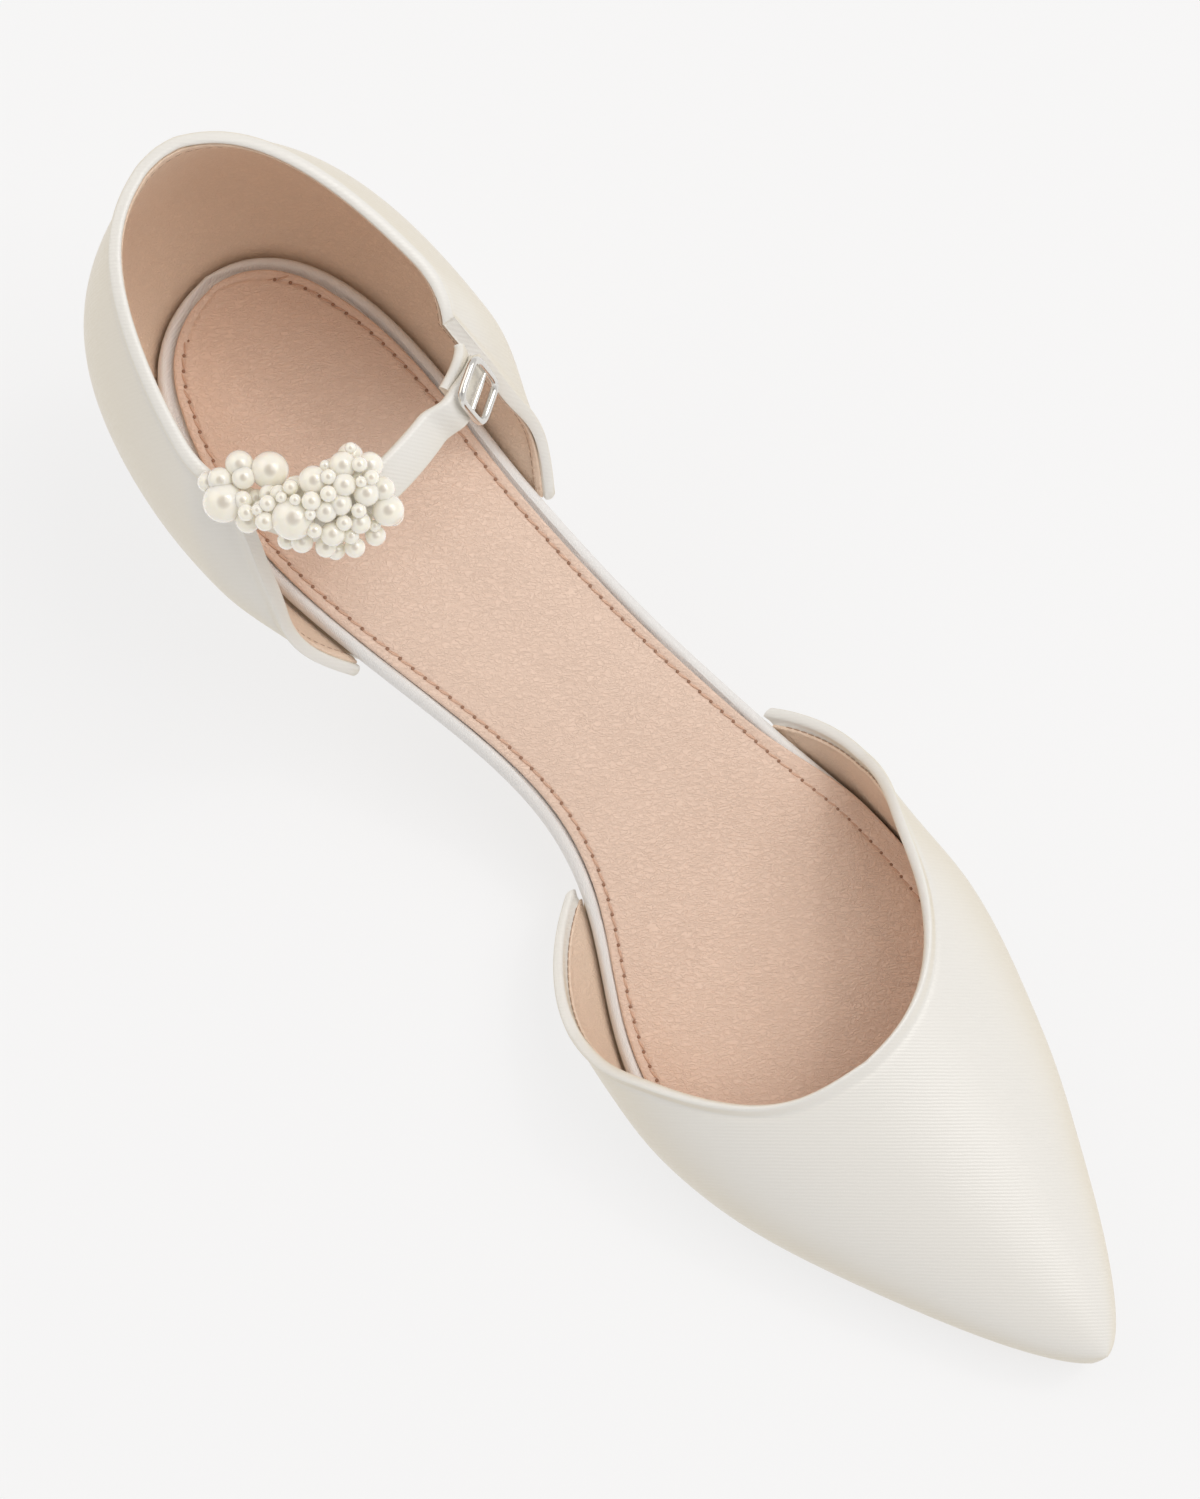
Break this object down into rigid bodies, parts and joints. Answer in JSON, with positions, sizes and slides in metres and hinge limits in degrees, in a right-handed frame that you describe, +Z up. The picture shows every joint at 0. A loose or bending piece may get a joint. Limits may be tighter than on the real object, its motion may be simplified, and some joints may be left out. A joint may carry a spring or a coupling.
{
  "type": "kitten heel shoe",
  "caption": "Left two-piece satin court shoe with pointed toe, low kitten heel and an ankle strap sewn with pearls.",
  "frame": {"origin": "on the floor under the middle of the shoe's box, the shoe standing empty on its tread and its heel", "axes": "+X from the heel to the toe, +Y to the outer side, +Z up"},
  "size_m": [0.2594, 0.0778, 0.1087],
  "materials": {
    "satin": "ivory satin, soft sheen, fine rib",
    "rim": "ribbed white satin",
    "sock": "nude leather, fine grain",
    "sole": "smooth tan sole leather",
    "top_piece": "dense tan rubber",
    "buckle": "polished pale metal",
    "pearl": "ivory pearl lustre"
  },
  "bodies": {
    "root": {"outsole": "sole", "heel": "satin", "top_piece": "top_piece", "insole": "rim", "sock": "sock", "vamp": "satin", "quarter": "satin", "ankle_strap": "satin", "strap_tab": "satin", "buckle": "buckle", "pearl_cluster": "pearl"}
  },
  "joints": []
}
